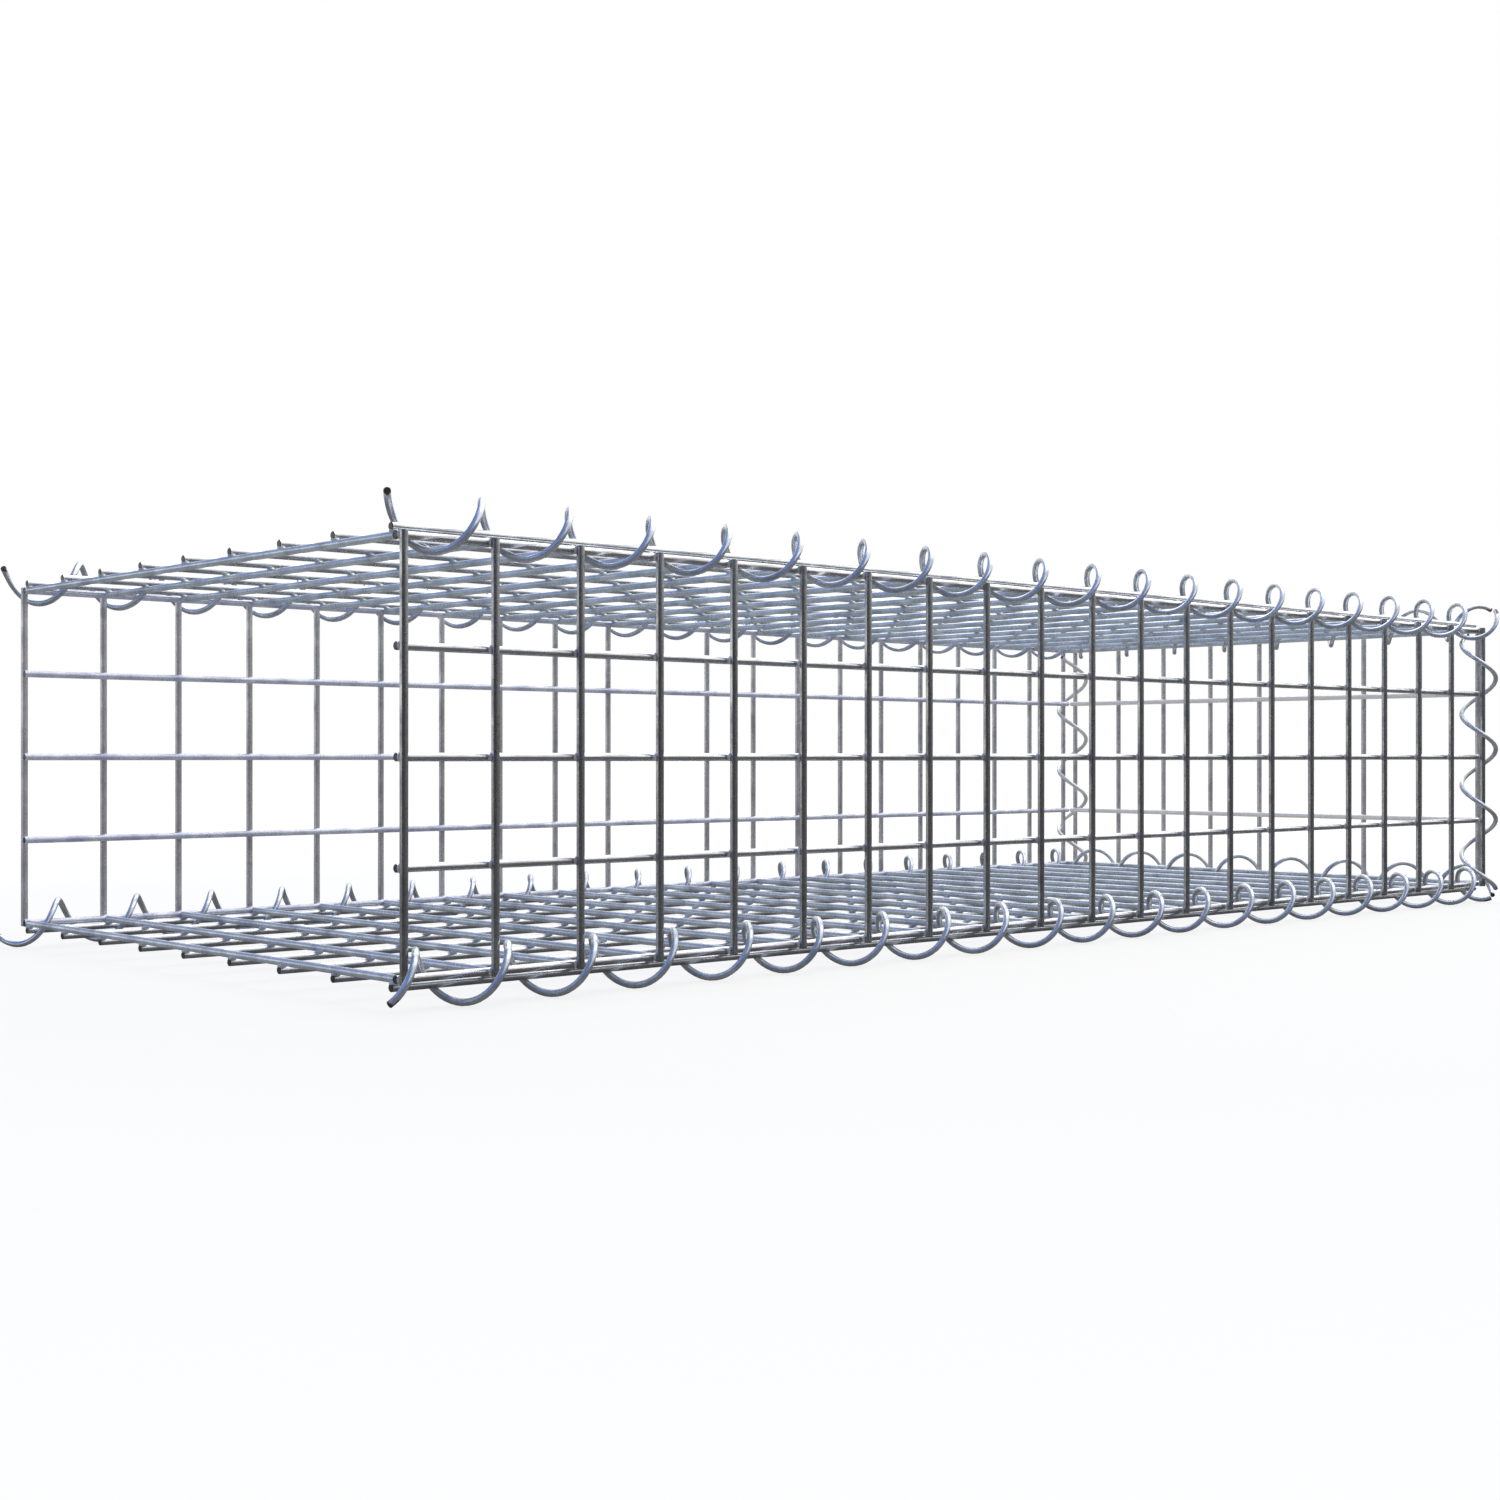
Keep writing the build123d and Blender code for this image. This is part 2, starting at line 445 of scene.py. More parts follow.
def zinc_group():
    """Mottled zinc: dull and bright patches, a finer grain, and the grain's height."""
    group = bpy.data.node_groups.get("Mottled zinc")
    if group:
        return group
    group = bpy.data.node_groups.new("Mottled zinc", "ShaderNodeTree")
    sockets = group.interface
    sockets.new_socket("Dark", in_out="INPUT", socket_type="NodeSocketColor")
    sockets.new_socket("Light", in_out="INPUT", socket_type="NodeSocketColor")
    sockets.new_socket("Colour", in_out="OUTPUT", socket_type="NodeSocketColor")
    sockets.new_socket("Roughness", in_out="OUTPUT", socket_type="NodeSocketFloat")
    sockets.new_socket("Height", in_out="OUTPUT", socket_type="NodeSocketFloat")
    nodes = group.nodes
    links = group.links
    given = nodes.new("NodeGroupInput")
    result = nodes.new("NodeGroupOutput")
    place = nodes.new("ShaderNodeTexCoord")
    patches = value_node(nodes, "ShaderNodeTexNoise", Scale=PATCH_SCALE, Detail=4.0, Roughness=0.6)
    grain = value_node(nodes, "ShaderNodeTexNoise", Scale=GRAIN_SCALE, Detail=3.0, Roughness=0.55)
    links.new(place.outputs["Object"], patches.inputs["Vector"])
    links.new(place.outputs["Object"], grain.inputs["Vector"])
    patch_part = nodes.new("ShaderNodeMath")
    patch_part.operation = "MULTIPLY"
    patch_part.inputs[1].default_value = 1 - GRAIN_SHARE
    links.new(patches.outputs["Fac"], patch_part.inputs[0])
    mottle = nodes.new("ShaderNodeMath")
    mottle.operation = "MULTIPLY_ADD"
    mottle.inputs[1].default_value = GRAIN_SHARE
    links.new(grain.outputs["Fac"], mottle.inputs[0])
    links.new(patch_part.outputs["Value"], mottle.inputs[2])
    spread = nodes.new("ShaderNodeMapRange")
    spread.inputs["From Min"].default_value = DULL_BELOW
    spread.inputs["From Max"].default_value = BRIGHT_ABOVE
    links.new(mottle.outputs["Value"], spread.inputs["Value"])
    mix = nodes.new("ShaderNodeMix")
    mix.data_type = "RGBA"
    links.new(spread.outputs["Result"], mix.inputs["Factor"])
    links.new(given.outputs["Dark"], mix.inputs["A"])
    links.new(given.outputs["Light"], mix.inputs["B"])
    rough = nodes.new("ShaderNodeMapRange")
    rough.inputs["To Min"].default_value = DULL_ROUGHNESS
    rough.inputs["To Max"].default_value = BRIGHT_ROUGHNESS
    links.new(spread.outputs["Result"], rough.inputs["Value"])
    links.new(mix.outputs["Result"], result.inputs["Colour"])
    links.new(rough.outputs["Result"], result.inputs["Roughness"])
    links.new(grain.outputs["Fac"], result.inputs["Height"])
    return group


def zinc_material(name, dark, light, metallic):
    """Galvanised wire: zinc with dull and bright patches, made once for each name."""
    material = bpy.data.materials.get(name)
    if material:
        return material
    material = bpy.data.materials.new(name)
    material.use_nodes = True
    nodes = material.node_tree.nodes
    links = material.node_tree.links
    shader = nodes["Principled BSDF"]
    shader.inputs["Metallic"].default_value = metallic
    zinc = nodes.new("ShaderNodeGroup")
    zinc.node_tree = zinc_group()
    zinc.inputs["Dark"].default_value = (*dark, 1)
    zinc.inputs["Light"].default_value = (*light, 1)
    bump = nodes.new("ShaderNodeBump")
    bump.inputs["Strength"].default_value = GRAIN_STRENGTH
    bump.inputs["Distance"].default_value = GRAIN_DEPTH
    links.new(zinc.outputs["Colour"], shader.inputs["Base Color"])
    links.new(zinc.outputs["Roughness"], shader.inputs["Roughness"])
    links.new(zinc.outputs["Height"], bump.inputs["Height"])
    links.new(bump.outputs["Normal"], shader.inputs["Normal"])
    return material


def finish(name, metallic):
    """The zinc of that name, from the colours in the settings."""
    colours = bpy.context.scene.gabion_colours
    dark = getattr(colours, name + "_dark")
    light = getattr(colours, name + "_light")
    return zinc_material(name.replace("_", " ") + " zinc", dark, light, metallic)


def upright_material():
    """The dark, shiny zinc of the front uprights, darker than the rest of the wires' zinc as painted
    shade.
    """
    return finish("upright", metallic=1.0)


def back_upright_material():
    """The greyer zinc of the uprights of the back and the end, paler and less shiny than the front
    uprights' as painted light.
    """
    return finish("back_upright", metallic=0.5)


def side_material():
    """The bright zinc of the front's line wires."""
    return finish("side", metallic=1.0)


def front_weld_material():
    """The dull zinc of the front's welds."""
    return finish("front_weld", metallic=0.4)


def end_material():
    """The pale, dull zinc of the end's line wires and welds, near white and little metallic as painted
    light.
    """
    return finish("end", metallic=0.12)


def back_material():
    """The bluish zinc of the back's line wires and welds, whose lavender tint is painted blue light."""
    return finish("back", metallic=0.4)


def rail_material():
    """The bright zinc of the lengthwise wires of the top and the bottom."""
    return finish("rail", metallic=1.0)


def lid_material():
    """The blue-grey zinc of the top's cross wires and welds, less metallic than the top's line wires so
    that it shows lighter from below, as painted light.
    """
    return finish("lid", metallic=0.45)


def floor_panel_material():
    """The blue-grey zinc of the bottom's cross wires and welds, less metallic than the bottom's line
    wires so that it shows lighter, as painted light.
    """
    return finish("floor", metallic=0.45)


def lacing_material():
    """The bright zinc of the spirals."""
    return finish("lacing", metallic=0.76)


def painted_pale_lacing_material():
    """The zinc of the spiral at the far corner, paler and less shiny than the other spirals' as painted
    light.
    """
    return finish("painted_pale_lacing", metallic=0.45)


def cut_material():
    """Bare dark steel, scored where the shears went through."""
    dark = tuple(bpy.context.scene.gabion_colours.cut_end)
    light = tuple(CUT_CONTRAST * part for part in dark)
    return zinc_material("cut steel", dark, light, metallic=0.2)


def round_wire(name, start, direction, length):
    """A straight round wire with cut ends, from start along direction."""
    sizes = wire_settings()
    deselect()
    turn = ALONG_Z.rotation_difference(direction).to_euler()
    bpy.ops.mesh.primitive_cylinder_add(
        vertices=sizes.wire_faces,
        radius=HALF,
        depth=length,
        location=start + direction * length / 2,
        rotation=turn,
    )
    wire = start_piece(name)
    select_faces(wire, lambda face: abs(face.normal.z) > FACES_ALONG)
    bpy.ops.mesh.bevel(offset=sizes.end_bevel, segments=1, affect="EDGES")
    settle()
    return wire


def paint_ends(piece, direction):
    """The cut ends and their bevelled rims show bare steel."""
    piece.data.materials.append(cut_material())
    select_faces(piece, lambda face: abs(face.normal.dot(direction)) > FACES_ALONG_WITH_RIM)
    piece.active_material_index = 1
    bpy.ops.object.material_slot_assign()
    bpy.ops.object.mode_set(mode="OBJECT")


def wire_row(name, material, start, direction, length, step, count):
    """The wires of a panel that run one way, which stand for the node of the same name."""
    wires = round_wire(name, start, direction, length)
    apply_array(wires, step, count)
    wires.data.materials.append(material)
    paint_ends(wires, direction)
    finish_piece(wires, MESH_SLOT, name)


def welds(name, material, first, normal, step_a, count_a, step_b, count_b):
    """The metal pressed out at every crossing of a panel."""
    sizes = wire_settings()
    deselect()
    bpy.ops.mesh.primitive_uv_sphere_add(
        segments=WELD_SEGMENTS, ring_count=WELD_RINGS, radius=0.5
    )
    weld = start_piece(name)
    weld.scale = (sizes.weld_width, sizes.weld_width, sizes.weld_thickness)
    weld.rotation_euler = ALONG_Z.rotation_difference(normal).to_euler()
    weld.location = first
    settle()
    apply_array(weld, step_a, count_a)
    apply_array(weld, step_b, count_b)
    weld.data.materials.append(material)
    finish_piece(weld, MESH_SLOT)


class GABION_OT_front_and_back(bpy.types.Operator):
    """The two long side panels, with their uprights outside and line wires inside."""

    bl_idname = "gabion.front_and_back"
    bl_label = "Front and back panels"

    def execute(self, context):
        sides = (
            ("front", Y_FRONT, WIRE, upright_material(), side_material(), front_weld_material()),
            ("back", Y_BACK, -WIRE, back_upright_material(), back_material(), back_material()),
        )
        for side, y, inwards, upright_zinc, line_zinc, weld_zinc in sides:
            wire_row(
                f"{side}_panel_uprights",
                upright_zinc,
                Vector((X_FIRST, y, Z_LOW - HALF)),
                ALONG_Z,
                HIGH,
                ALONG_X * CELL,
                CELLS_LONG + 1,
            )
            wire_row(
                f"{side}_panel_line_wires",
                line_zinc,
                Vector((X_FIRST - HALF, y + inwards, Z_LOW)),
                ALONG_X,
                LONG,
                ALONG_Z * CELL,
                CELLS_HIGH + 1,
            )
            welds(
                f"{side}_panel_welds",
                weld_zinc,
                Vector((X_FIRST, y + inwards / 2, Z_LOW)),
                ALONG_Y,
                ALONG_X * CELL,
                CELLS_LONG + 1,
                ALONG_Z * CELL,
                CELLS_HIGH + 1,
            )
        return {"FINISHED"}


class GABION_OT_top_and_bottom(bpy.types.Operator):
    """The lid and the floor of the basket, with their line wires outside."""

    bl_idname = "gabion.top_and_bottom"
    bl_label = "Top and bottom panels"

    def execute(self, context):
        panels = (
            ("top", Z_HIGH, WIRE, lid_material()),
            ("bottom", Z_LOW, -WIRE, floor_panel_material()),
        )
        for panel, z, outwards, zinc in panels:
            wire_row(
                f"{panel}_panel_line_wires",
                rail_material(),
                Vector((X_FIRST - HALF, Y_NEAR, z + outwards)),
                ALONG_X,
                LONG,
                ALONG_Y * CELL,
                CELLS_DEEP + 1,
            )
            wire_row(
                f"{panel}_panel_cross_wires",
                zinc,
                Vector((X_FIRST, Y_NEAR - HALF, z)),
                ALONG_Y,
                DEEP,
                ALONG_X * CELL,
                CELLS_LONG + 1,
            )
            welds(
                f"{panel}_panel_welds",
                zinc,
                Vector((X_FIRST, Y_NEAR, z + outwards / 2)),
                ALONG_Z,
                ALONG_X * CELL,
                CELLS_LONG + 1,
                ALONG_Y * CELL,
                CELLS_DEEP + 1,
            )
        return {"FINISHED"}


class GABION_OT_end(bpy.types.Operator):
    """The panel that closes the basket at its far end."""

    bl_idname = "gabion.end"
    bl_label = "End panel"

    def execute(self, context):
        wire_row(
            "end_panel_uprights",
            back_upright_material(),
            Vector((X_LAST + 2 * WIRE, Y_NEAR, Z_LOW - HALF)),
            ALONG_Z,
            HIGH,
            ALONG_Y * CELL,
            CELLS_DEEP + 1,
        )
        wire_row(
            "end_panel_line_wires",
            end_material(),
            Vector((X_LAST + WIRE, Y_NEAR - HALF, Z_LOW)),
            ALONG_Y,
            DEEP,
            ALONG_Z * CELL,
            CELLS_HIGH + 1,
        )
        welds(
            "end_panel_welds",
            end_material(),
            Vector((X_LAST + 1.5 * WIRE, Y_NEAR, Z_LOW)),
            ALONG_X,
            ALONG_Y * CELL,
            CELLS_DEEP + 1,
            ALONG_Z * CELL,
            CELLS_HIGH + 1,
        )
        return {"FINISHED"}


class Spiral(NamedTuple):
    """Where one spiral runs: in metres, with its lean in degrees."""

    # A point of the wire that it bears on, at the first wire that its edge crosses
    bearing: tuple
    # Directions out of the basket and up or in, and the lean from the one towards the other
    outward: Vector
    lift: Vector
    lean: float
    # The direction of its edge, and the length of one turn along it
    along: Vector
    pitch: float
    # Where it first turns round its wire, and where it starts and ends, from the bearing point
    first_turn: float
    start: float
    end: float


LONG_PITCH = 0.0509
END_TOP_PITCH = 0.0525
END_BOTTOM_PITCH = 0.0522
CORNER_PITCH = 0.0559

SPIRALS = {
    "top_front_spiral": Spiral(
        bearing=(X_FIRST, Y_NEAR, Z_HIGH + WIRE),
        outward=-ALONG_Y,
        lift=ALONG_Z,
        lean=12.0,
        along=ALONG_X,
        pitch=LONG_PITCH,
        first_turn=0.0055,
        start=-0.009,
        end=1.003,
    ),
    "top_back_spiral": Spiral(
        bearing=(X_FIRST, Y_FAR, Z_HIGH + WIRE),
        outward=ALONG_Y,
        lift=ALONG_Z,
        lean=12.0,
        along=ALONG_X,
        pitch=LONG_PITCH,
        first_turn=0.0207,
        start=-0.009,
        end=1.003,
    ),
    "bottom_front_spiral": Spiral(
        bearing=(X_FIRST, Y_NEAR, Z_LOW - WIRE),
        outward=-ALONG_Y,
        lift=ALONG_Z,
        lean=29.0,
        along=ALONG_X,
        pitch=LONG_PITCH,
        first_turn=0.0233,
        start=-0.013,
        end=1.003,
    ),
    "bottom_back_spiral": Spiral(
        bearing=(X_FIRST, Y_FAR, Z_LOW - WIRE),
        outward=ALONG_Y,
        lift=ALONG_Z,
        lean=29.0,
        along=ALONG_X,
        pitch=LONG_PITCH,
        first_turn=0.0038,
        start=-0.013,
        end=1.003,
    ),
    "end_top_spiral": Spiral(
        bearing=(X_LAST, Y_NEAR, Z_HIGH),
        outward=ALONG_X,
        lift=ALONG_Z,
        lean=52.0,
        along=ALONG_Y,
        pitch=END_TOP_PITCH,
        first_turn=0.0181,
        start=-0.0085,
        end=0.407,
    ),
    "end_bottom_spiral": Spiral(
        bearing=(X_LAST, Y_NEAR, Z_LOW),
        outward=ALONG_X,
        lift=ALONG_Z,
        lean=2.5,
        along=ALONG_Y,
        pitch=END_BOTTOM_PITCH,
        first_turn=0.026,
        start=-0.0085,
        end=0.401,
    ),
    "end_front_spiral": Spiral(
        bearing=(X_LAST, Y_FRONT, Z_LOW),
        outward=ALONG_X,
        lift=ALONG_Y,
        lean=47.5,
        along=ALONG_Z,
        pitch=CORNER_PITCH,
        first_turn=0.0052,
        start=-0.004,
        end=0.198,
    ),
    "end_back_spiral": Spiral(
        bearing=(X_LAST, Y_BACK, Z_LOW),
        outward=ALONG_X,
        lift=-ALONG_Y,
        lean=47.5,
        along=ALONG_Z,
        pitch=CORNER_PITCH,
        first_turn=0.0319,
        start=-0.004,
        end=0.194,
    ),
}

# The one that the photograph shows paler and duller than the rest; its paler, less shiny zinc is
# painted light on the same wire as the other spirals
PAINTED_PALE_SPIRAL = "end_back_spiral"

# A coil is made longer than its spiral by SPARE at each end, and a cut takes in the faces that lie
# no further from it than SPARE and SPARE_REACH together
SPARE = 0.003
SPARE_REACH = 0.004

# A face with more corners than this closes a cut end
SIDE_CORNERS = 4


def cut_square(piece, radius, pitch, station, keep_above):
    """Cuts a spiral square across its wire at a station along its axis, and closes the cut."""
    turn = -tau * station / pitch
    centre = Vector((radius * cos(turn), radius * sin(turn), station))
    along_wire = Vector((tau * radius / pitch * sin(turn), -tau * radius / pitch * cos(turn), 1))
    along_wire.normalize()
    select_faces(piece, lambda face: abs(face.center.z - station) < SPARE + SPARE_REACH)
    bpy.ops.mesh.bisect(
        plane_co=centre,
        plane_no=-along_wire if keep_above else along_wire,
        use_fill=True,
        clear_outer=True,
        clear_inner=False,
    )
    bpy.ops.object.mode_set(mode="OBJECT")


def coil(name, pitch, low, high):
    """A left-handed coil of round wire about the Z axis, open at both ends, from low to high."""
    lacing = bpy.context.scene.gabion_lacing
    climb = atan2(pitch, tau * lacing.radius)
    deselect()
    bpy.ops.mesh.primitive_circle_add(
        vertices=lacing.section_faces,
        radius=lacing.wire / 2,
        location=(lacing.radius, 0, 0),
        rotation=(pi / 2, 0, 0),
    )
    piece = start_piece(name)
    piece.scale = (1, 1 / cos(climb), 1)
    settle()
    screw = piece.modifiers.new("turns", "SCREW")
    screw.axis = "Z"
    screw.angle = -tau * (high - low) / pitch
    screw.screw_offset = high - low
    screw.steps = round(lacing.steps * (high - low) / pitch)
    screw.render_steps = screw.steps
    screw.use_normal_calculate = True
    bpy.ops.object.modifier_apply(modifier=screw.name)
    first_angle = -tau * low / pitch
    piece.matrix_world = Matrix.Translation((0, 0, low)) @ Matrix.Rotation(first_angle, 4, "Z")
    settle()
    return piece


def make_spiral(name, path, zinc):
    """A spiral of round wire along its path, cut square and bevelled at its ends."""
    lacing = bpy.context.scene.gabion_lacing
    low = path.start - path.first_turn
    high = path.end - path.first_turn
    spiral = coil(name, path.pitch, low - SPARE, high + SPARE)
    cut_square(spiral, lacing.radius, path.pitch, low, keep_above=True)
    cut_square(spiral, lacing.radius, path.pitch, high, keep_above=False)
    bpy.ops.object.mode_set(mode="EDIT")
    bpy.ops.mesh.select_all(action="SELECT")
    bpy.ops.mesh.normals_make_consistent(inside=False)
    bpy.ops.object.mode_set(mode="OBJECT")
    aside = path.outward * cos(radians(path.lean)) + path.lift * sin(radians(path.lean))
    turned = Matrix((-aside, path.along.cross(-aside), path.along)).transposed().to_4x4()
    axis_start = Vector(path.bearing) + aside * lacing.seat + path.along * path.first_turn
    spiral.matrix_world = Matrix.Translation(axis_start) @ turned
    settle()
    spiral.data.materials.append(zinc)
    spiral.data.materials.append(cut_material())
    select_faces(spiral, lambda face: len(face.vertices) > SIDE_CORNERS)
    bpy.ops.mesh.bevel(offset=wire_settings().end_bevel, segments=1, affect="EDGES")
    bpy.ops.mesh.select_more()
    spiral.active_material_index = 1
    bpy.ops.object.material_slot_assign()
    finish_piece(spiral, LACING_SLOT, name)


class GABION_OT_spirals(bpy.types.Operator):
    """The eight spirals of wire that lace the panels together along their edges."""

    bl_idname = "gabion.spirals"
    bl_label = "Lacing spirals"

    def execute(self, context):
        for name, path in SPIRALS.items():
            # The far-corner spiral gets the paler zinc of painted light
            zinc = painted_pale_lacing_material() if name == PAINTED_PALE_SPIRAL else lacing_material()
            make_spiral(name, path, zinc)
        return {"FINISHED"}


# The photograph's width, and how far right of and above the camera's aim its middle lies, in pixels
PHOTO_WIDTH = 1500
SHIFT_RIGHT = 10.3
SHIFT_UP = 7.0
SENSOR = 36

# The camera stands level with the middle of the basket, this far before its open end and its front
EYE_BEFORE_END = 0.4869
EYE_BEFORE_FRONT = 0.754

# The floor: its own grey, its glow on the basket, and its glow to the camera and in reflections,
# which goes from SEEN_NEAR to SEEN_FAR between these two distances from the middle
FLOOR_SIZE = 40
FLOOR_GREY = 0.22
FLOOR_GLOW = 0.35
FLOOR_NEAR = 0.7
FLOOR_FAR = 2.4
SEEN_NEAR = 0.79
SEEN_FAR = 0.93

# Cards that only reflections see
CARD_SIDES = 72
RING_CENTRE = (2.0, 2.2)
RING_RADIUS = 5.0
RING_TOP = 0.6
RING_FIRST = -148
RING_LAST = 120
RING_GREY = 0.05
BLUE_CENTRE = (0.0, 0.0)
BLUE_RADIUS = 3.0
BLUE_BOTTOM = 0.9
BLUE_TOP = 8.0
BLUE_FIRST = 87
BLUE_LAST = 250
BLUE_GLOW = (0.08, 0.185, 0.55)
CLOTH_SIZE = 24
CLOTH_HEIGHT = 0.0002
CLOTH_GREY = 0.13

# Square soft lights, both of one size
LIGHT_SIZE = 4.0
OVERHEAD_PLACE = (1.4, 0.3, 2.4)
LEFT_PLACE = (-2.45, 1.75, 2.25)
WHITE = (1, 1, 1)
BLUE = (0.2, 0.36, 1)


def seen_or_mirrored(nodes, links):
    """One for a ray from the camera, off a shiny surface or through a clear one, else nought."""
    path = nodes.new("ShaderNodeLightPath")
    either = nodes.new("ShaderNodeMath")
    either.operation = "MAXIMUM"
    links.new(path.outputs["Is Camera Ray"], either.inputs[0])
    links.new(path.outputs["Is Glossy Ray"], either.inputs[1])
    both = nodes.new("ShaderNodeMath")
    both.operation = "MAXIMUM"
    links.new(either.outputs["Value"], both.inputs[0])
    links.new(path.outputs["Is Transmission Ray"], both.inputs[1])
    return both.outputs["Value"]


def floor_material():
    """A white floor that shows as white and still takes the basket's shadow."""
    material = bpy.data.materials.new("white floor")
    material.use_nodes = True
    nodes = material.node_tree.nodes
    links = material.node_tree.links
    nodes.clear()
    glow = nodes.new("ShaderNodeEmission")
    matte = nodes.new("ShaderNodeBsdfDiffuse")
    matte.inputs["Color"].default_value = (FLOOR_GREY, FLOOR_GREY, FLOOR_GREY, 1)
    place = nodes.new("ShaderNodeTexCoord")
    away = nodes.new("ShaderNodeVectorMath")
    away.operation = "LENGTH"
    links.new(place.outputs["Object"], away.inputs[0])
    seen = nodes.new("ShaderNodeMapRange")
    seen.inputs["From Min"].default_value = FLOOR_NEAR
    seen.inputs["From Max"].default_value = FLOOR_FAR
    seen.inputs["To Min"].default_value = SEEN_NEAR
    seen.inputs["To Max"].default_value = SEEN_FAR
    links.new(away.outputs["Value"], seen.inputs["Value"])
    level = nodes.new("ShaderNodeMapRange")
    level.inputs["To Min"].default_value = FLOOR_GLOW
    links.new(seen.outputs["Result"], level.inputs["To Max"])
    links.new(seen_or_mirrored(nodes, links), level.inputs["Value"])
    links.new(level.outputs["Result"], glow.inputs["Strength"])
    both = nodes.new("ShaderNodeAddShader")
    links.new(glow.outputs["Emission"], both.inputs[0])
    links.new(matte.outputs["BSDF"], both.inputs[1])
    out = nodes.new("ShaderNodeOutputMaterial")
    links.new(both.outputs["Shader"], out.inputs["Surface"])
    return material


def card_material(name, grey):
    """A card of that grey with no shine."""
    material = bpy.data.materials.new(name)
    material.use_nodes = True
    shader = material.node_tree.nodes["Principled BSDF"]
    shader.inputs["Base Color"].default_value = (grey, grey, grey, 1)
    shader.inputs["Roughness"].default_value = 1.0
    shader.inputs["Specular IOR Level"].default_value = 0.0
    return material


def glow_material(name, colour):
    """A black card that glows in an even colour."""
    material = card_material(name, 0.0)
    shader = material.node_tree.nodes["Principled BSDF"]
    shader.inputs["Emission Color"].default_value = (*colour, 1)
    shader.inputs["Emission Strength"].default_value = 1.0
    return material


def curved_card(name, centre, radius, low, high, first, last, material):
    """An upright curved card about centre, from one direction to another, in degrees from +X."""
    deselect()
    bpy.ops.mesh.primitive_cylinder_add(
        vertices=CARD_SIDES,
        radius=radius,
        depth=high - low,
        end_fill_type="NOTHING",
        location=(*centre, (low + high) / 2),
    )
    card = start_piece(name)
    width = last - first
    select_faces(
        card, lambda face: (degrees(atan2(face.center.y, face.center.x)) - first) % 360 > width
    )
    bpy.ops.mesh.delete(type="FACE")
    settle()
    card.data.materials.append(material)
    return card


def studio_cards():
    """A low dark ring, open on the left, a dark cloth and a tall blue card."""
    ring = curved_card(
        "card_ring",
        centre=RING_CENTRE,
        radius=RING_RADIUS,
        low=0.0,
        high=RING_TOP,
        first=RING_FIRST,
        last=RING_LAST,
        material=card_material("grey card", RING_GREY),
    )
    blue = curved_card(
        "card_blue",
        centre=BLUE_CENTRE,
        radius=BLUE_RADIUS,
        low=BLUE_BOTTOM,
        high=BLUE_TOP,
        first=BLUE_FIRST,
        last=BLUE_LAST,
        material=glow_material("blue card", BLUE_GLOW),
    )
    deselect()
    bpy.ops.mesh.primitive_plane_add(size=CLOTH_SIZE, location=(0, 0, CLOTH_HEIGHT))
    cloth = start_piece("card_cloth")
    settle()
    cloth.data.materials.append(card_material("dark cloth", CLOTH_GREY))
    for card in (ring, cloth, blue):
        card.visible_camera = False
        card.visible_diffuse = False
        card.visible_shadow = False
        card.visible_transmission = False
    deselect()


def light_surroundings(level):
    """White to the camera and in reflections, and a soft even light to the rest."""
    world = bpy.data.worlds.new("studio")
    bpy.context.scene.world = world
    world.use_nodes = True
    nodes = world.node_tree.nodes
    links = world.node_tree.links
    background = nodes["Background"]
    background.inputs["Color"].default_value = (*WHITE, 1)
    strength = nodes.new("ShaderNodeMapRange")
    strength.inputs["To Min"].default_value = level
    strength.inputs["To Max"].default_value = 1.0
    links.new(seen_or_mirrored(nodes, links), strength.inputs["Value"])
    links.new(strength.outputs["Result"], background.inputs["Strength"])


def soft_light(name, place, target, power, colour, mirrored):
    """A soft light at place that shines at target, and shows in reflections if mirrored."""
    data = bpy.data.lights.new(name, "AREA")
    data.shape = "SQUARE"
    data.size = LIGHT_SIZE
    data.energy = power
    data.color = colour
    light = bpy.data.objects.new(name, data)
    light.location = place
    light.rotation_euler = (target - Vector(place)).to_track_quat("-Z", "Y").to_euler()
    light.visible_glossy = mirrored
    bpy.context.scene.collection.objects.link(light)


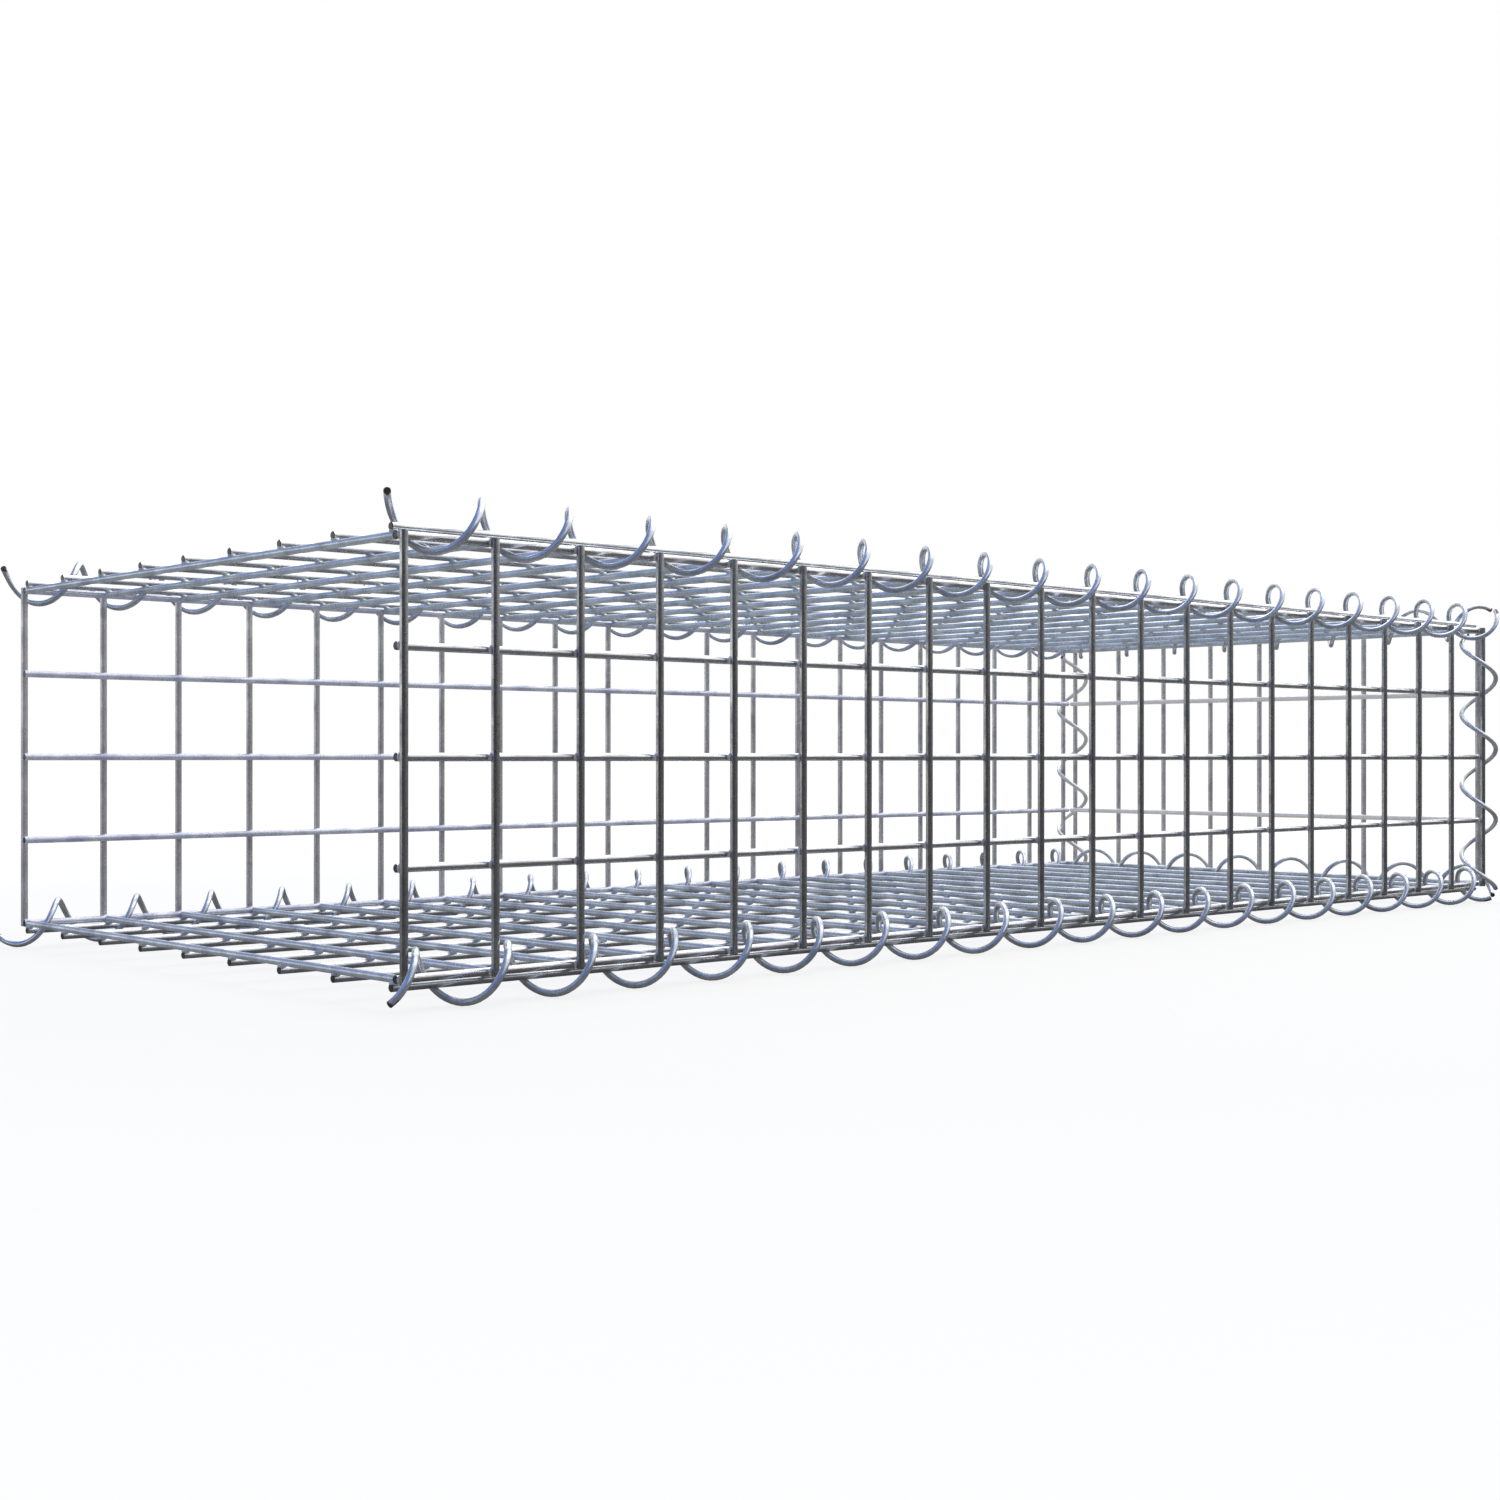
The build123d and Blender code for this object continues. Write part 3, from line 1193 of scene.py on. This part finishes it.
class GABION_OT_stage(bpy.types.Operator):
    """A white floor, soft studio light and the camera of the photograph."""

    bl_idname = "gabion.stage"
    bl_label = "Stage"

    def execute(self, context):
        stage = context.scene.gabion_stage
        context.scene.view_settings.view_transform = "Standard"
        deselect()
        bpy.ops.mesh.primitive_plane_add(size=FLOOR_SIZE, location=(0, 0, 0))
        floor = start_piece("floor")
        floor.data.materials.append(floor_material())
        studio_cards()
        light_surroundings(stage.sky)
        middle = Vector((0, 0, (Z_LOW + Z_HIGH) / 2))
        soft_light("overhead", OVERHEAD_PLACE, middle, stage.top_light, WHITE, mirrored=True)
        soft_light("left", LEFT_PLACE, middle, stage.side_light, BLUE, mirrored=False)
        data = bpy.data.cameras.new("camera")
        data.lens = stage.lens
        data.sensor_width = SENSOR
        data.shift_x = SHIFT_RIGHT / PHOTO_WIDTH
        data.shift_y = SHIFT_UP / PHOTO_WIDTH
        data.dof.use_dof = False
        camera = bpy.data.objects.new("camera", data)
        camera.location = (X_FIRST - EYE_BEFORE_END, Y_FRONT - EYE_BEFORE_FRONT, middle.z)
        camera.rotation_euler = (pi / 2, 0, stage.heading - pi / 2)
        context.scene.collection.objects.link(camera)
        context.scene.camera = camera
        return {"FINISHED"}


class GABION_PT_panel(bpy.types.Panel):
    """Lists the basket's groups of pieces in the sidebar."""

    bl_idname = "GABION_PT_panel"
    bl_label = "Gabion basket"
    bl_space_type = "VIEW_3D"
    bl_region_type = "UI"
    bl_category = "Gabion"

    def draw(self, context):
        for operator in OPERATORS:
            self.layout.operator(operator.bl_idname)


OPERATORS = (
    GABION_OT_front_and_back,
    GABION_OT_top_and_bottom,
    GABION_OT_end,
    GABION_OT_spirals,
    GABION_OT_stage,
)
SETTINGS = {
    "gabion_mesh": GabionMeshSettings,
    "gabion_lacing": GabionLacingSettings,
    "gabion_colours": GabionColourSettings,
    "gabion_stage": GabionStageSettings,
}


def register():
    """Adds the settings, the operators and the panel."""
    for group in SETTINGS.values():
        bpy.utils.register_class(group)
    for operator in OPERATORS:
        bpy.utils.register_class(operator)
    bpy.utils.register_class(GABION_PT_panel)
    for name, group in SETTINGS.items():
        setattr(bpy.types.Scene, name, bpy.props.PointerProperty(type=group))


def unregister():
    """Takes them all away again, in the opposite order."""
    for name in SETTINGS:
        delattr(bpy.types.Scene, name)
    bpy.utils.unregister_class(GABION_PT_panel)
    for operator in reversed(OPERATORS):
        bpy.utils.unregister_class(operator)
    for group in reversed(SETTINGS.values()):
        bpy.utils.unregister_class(group)


def main():
    """Builds the basket and its stage."""
    register()
    bpy.ops.gabion.front_and_back()
    bpy.ops.gabion.top_and_bottom()
    bpy.ops.gabion.end()
    bpy.ops.gabion.spirals()
    bpy.ops.gabion.stage()


if __name__ == "__main__":
    main()
